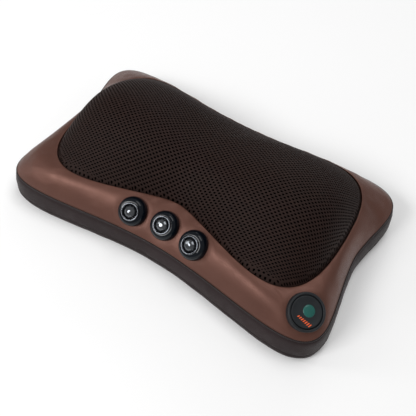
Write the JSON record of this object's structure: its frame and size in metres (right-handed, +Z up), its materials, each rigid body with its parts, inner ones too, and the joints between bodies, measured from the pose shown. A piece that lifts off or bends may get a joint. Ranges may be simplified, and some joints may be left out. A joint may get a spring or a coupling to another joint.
{
  "type": "shiatsu neck massager",
  "caption": "Heated shiatsu massage pillow: dog-bone padded case with an air-mesh window over two twin-head rotors driven by a worm-shaft motor, studs and a corner power button.",
  "frame": {"origin": "under the middle of the pillow, on the face it lies on", "axes": "+X along the pillow towards the power button's end, +Y to the back edge, +Z up through the massage mounds"},
  "size_m": [0.3388, 0.1993, 0.0909],
  "materials": {
    "bronze_leatherette": "satin metallic bronze",
    "dark_leatherette": "matte",
    "air_mesh": "perforated",
    "black_cloth": "woven",
    "seam_cord": "matte",
    "shell_abs": "fine texture",
    "gearbox_abs": "moulded",
    "acetal": "satin",
    "head_rubber": "satin",
    "steel": "turned",
    "sintered_bronze": "sintered",
    "copper": "enamelled wire",
    "gloss_black": "gloss",
    "chrome": "polished",
    "smoked_crystal": "metallised facets",
    "black_rubber": "matte",
    "teal_lens": "satin",
    "orange_mark": "printed",
    "circuit_board": "solder mask",
    "warming_lamp": "clear red"
  },
  "bodies": {
    "pillow": {"back_strap": "black_cloth", "base_tray": "shell_abs", "bottom_cover": "dark_leatherette", "button_bezel": "black_rubber", "control_board": "circuit_board", "dc_jack": "shell_abs", "gearbox_lower": "gearbox_abs", "gearbox_upper": "gearbox_abs", "jack_plate": "shell_abs", "lower_piping": "seam_cord", "mesh_cover": "air_mesh", "mesh_lining": "black_cloth", "motor_can": "steel", "motor_end_cap": "shell_abs", "output_bush_left": "sintered_bronze", "output_bush_right": "sintered_bronze", "screw_back_left": "steel", "screw_back_right": "steel", "screw_front_left": "steel", "screw_front_right": "steel", "shaft_bush_left": "sintered_bronze", "shaft_bush_right": "sintered_bronze", "side_band": "dark_leatherette", "stud_body_left": "gloss_black", "stud_body_middle": "gloss_black", "stud_body_right": "gloss_black", "stud_crystal_left": "smoked_crystal", "stud_crystal_middle": "smoked_crystal", "stud_crystal_right": "smoked_crystal", "stud_ring_left": "chrome", "stud_ring_middle": "chrome", "stud_ring_right": "chrome", "switch_board": "circuit_board", "tact_switch": "shell_abs", "top_cover": "bronze_leatherette", "top_shell": "shell_abs", "upper_piping": "seam_cord", "warming_lamp_back": "warming_lamp", "warming_lamp_front": "warming_lamp"},
    "rotor_left": {"worm_wheel_left": "acetal", "output_shaft_left": "steel", "rotor_arm_left": "shell_abs", "head_pin_left_front": "steel", "head_pin_left_back": "steel"},
    "rotor_right": {"worm_wheel_right": "acetal", "output_shaft_right": "steel", "rotor_arm_right": "shell_abs", "head_pin_right_front": "steel", "head_pin_right_back": "steel"},
    "motor_rotor": {"drive_shaft": "steel", "motor_armature": "copper", "worm_left": "acetal", "worm_right": "acetal"},
    "power_button": {"button_cap": "black_rubber", "button_lens": "teal_lens", "button_mark": "orange_mark"},
    "head_left_front": {"massage_head_left_front": "head_rubber"},
    "head_left_back": {"massage_head_left_back": "head_rubber"},
    "head_right_front": {"massage_head_right_front": "head_rubber"},
    "head_right_back": {"massage_head_right_back": "head_rubber"}
  },
  "joints": [
    {"name": "left_rotor_spin", "type": "hinge", "parent": "pillow", "child": "rotor_left", "pos_m": [-0.07, 0.003, 0.04], "axis": [0, 0, 1], "continuous": true},
    {"name": "right_rotor_spin", "type": "hinge", "parent": "pillow", "child": "rotor_right", "pos_m": [0.07, 0.003, 0.04], "axis": [0, 0, 1], "continuous": true},
    {"name": "motor_spin", "type": "hinge", "parent": "pillow", "child": "motor_rotor", "pos_m": [0, -0.022, 0.0225], "axis": [1, 0, 0], "continuous": true},
    {"name": "power_button_press", "type": "slide", "parent": "pillow", "child": "power_button", "axis": [0.3578, -0.2399, 0.9025], "range_m": [-0.0015, 0], "stiffness_N_per_m": 800},
    {"name": "left_front_head_spin", "type": "hinge", "parent": "rotor_left", "child": "head_left_front", "pos_m": [-0.0845, -0.02211, 0.055], "axis": [0, 0, 1], "continuous": true},
    {"name": "left_back_head_spin", "type": "hinge", "parent": "rotor_left", "child": "head_left_back", "pos_m": [-0.0555, 0.02812, 0.055], "axis": [0, 0, 1], "continuous": true},
    {"name": "right_front_head_spin", "type": "hinge", "parent": "rotor_right", "child": "head_right_front", "pos_m": [0.0555, -0.02211, 0.055], "axis": [0, 0, 1], "continuous": true},
    {"name": "right_back_head_spin", "type": "hinge", "parent": "rotor_right", "child": "head_right_back", "pos_m": [0.0845, 0.02812, 0.055], "axis": [0, 0, 1], "continuous": true}
  ],
  "couplings": [
    {"joint": "right_rotor_spin", "follows": "left_rotor_spin", "ratio": -1},
    {"joint": "motor_spin", "follows": "left_rotor_spin", "ratio": 40}
  ]
}
